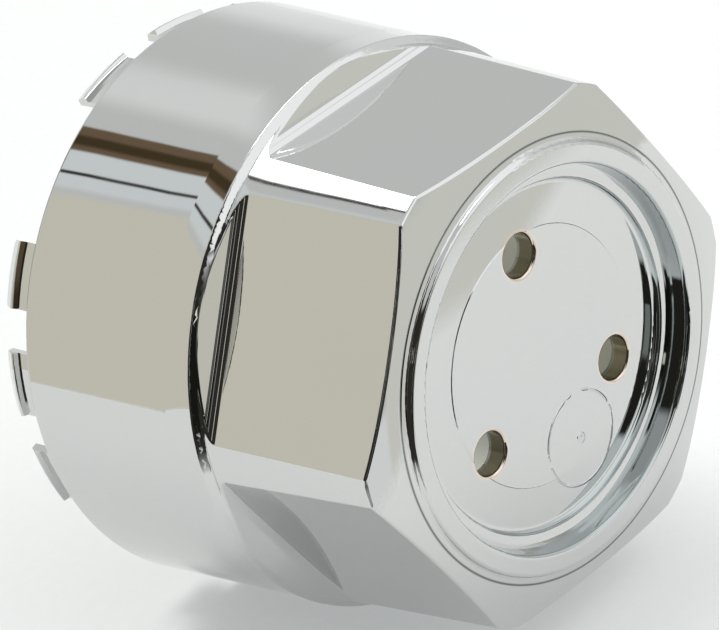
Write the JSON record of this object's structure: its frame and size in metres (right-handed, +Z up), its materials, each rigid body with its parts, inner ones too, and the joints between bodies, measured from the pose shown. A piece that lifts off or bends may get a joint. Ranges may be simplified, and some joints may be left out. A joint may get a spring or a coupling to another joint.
{
  "type": "wheel center cap",
  "caption": "Chromed hexagon wheel center cap: a round hollow skirt with snap tabs behind, a tapered hexagon nut form in front and a stepped round recess with holes in its face.",
  "frame": {"origin": "centre of the rear rim's seat, where the cap bears on the wheel", "axes": "+Y along the cap's axis towards the back, so the front looks along -Y; +Z up, square to one flat of the hexagon; +X across two corners"},
  "size_m": [0.086, 0.0702, 0.086],
  "materials": {
    "chrome": "bright plated, mirror polish"
  },
  "bodies": {
    "root": {"center_cap": "chrome"}
  },
  "joints": []
}
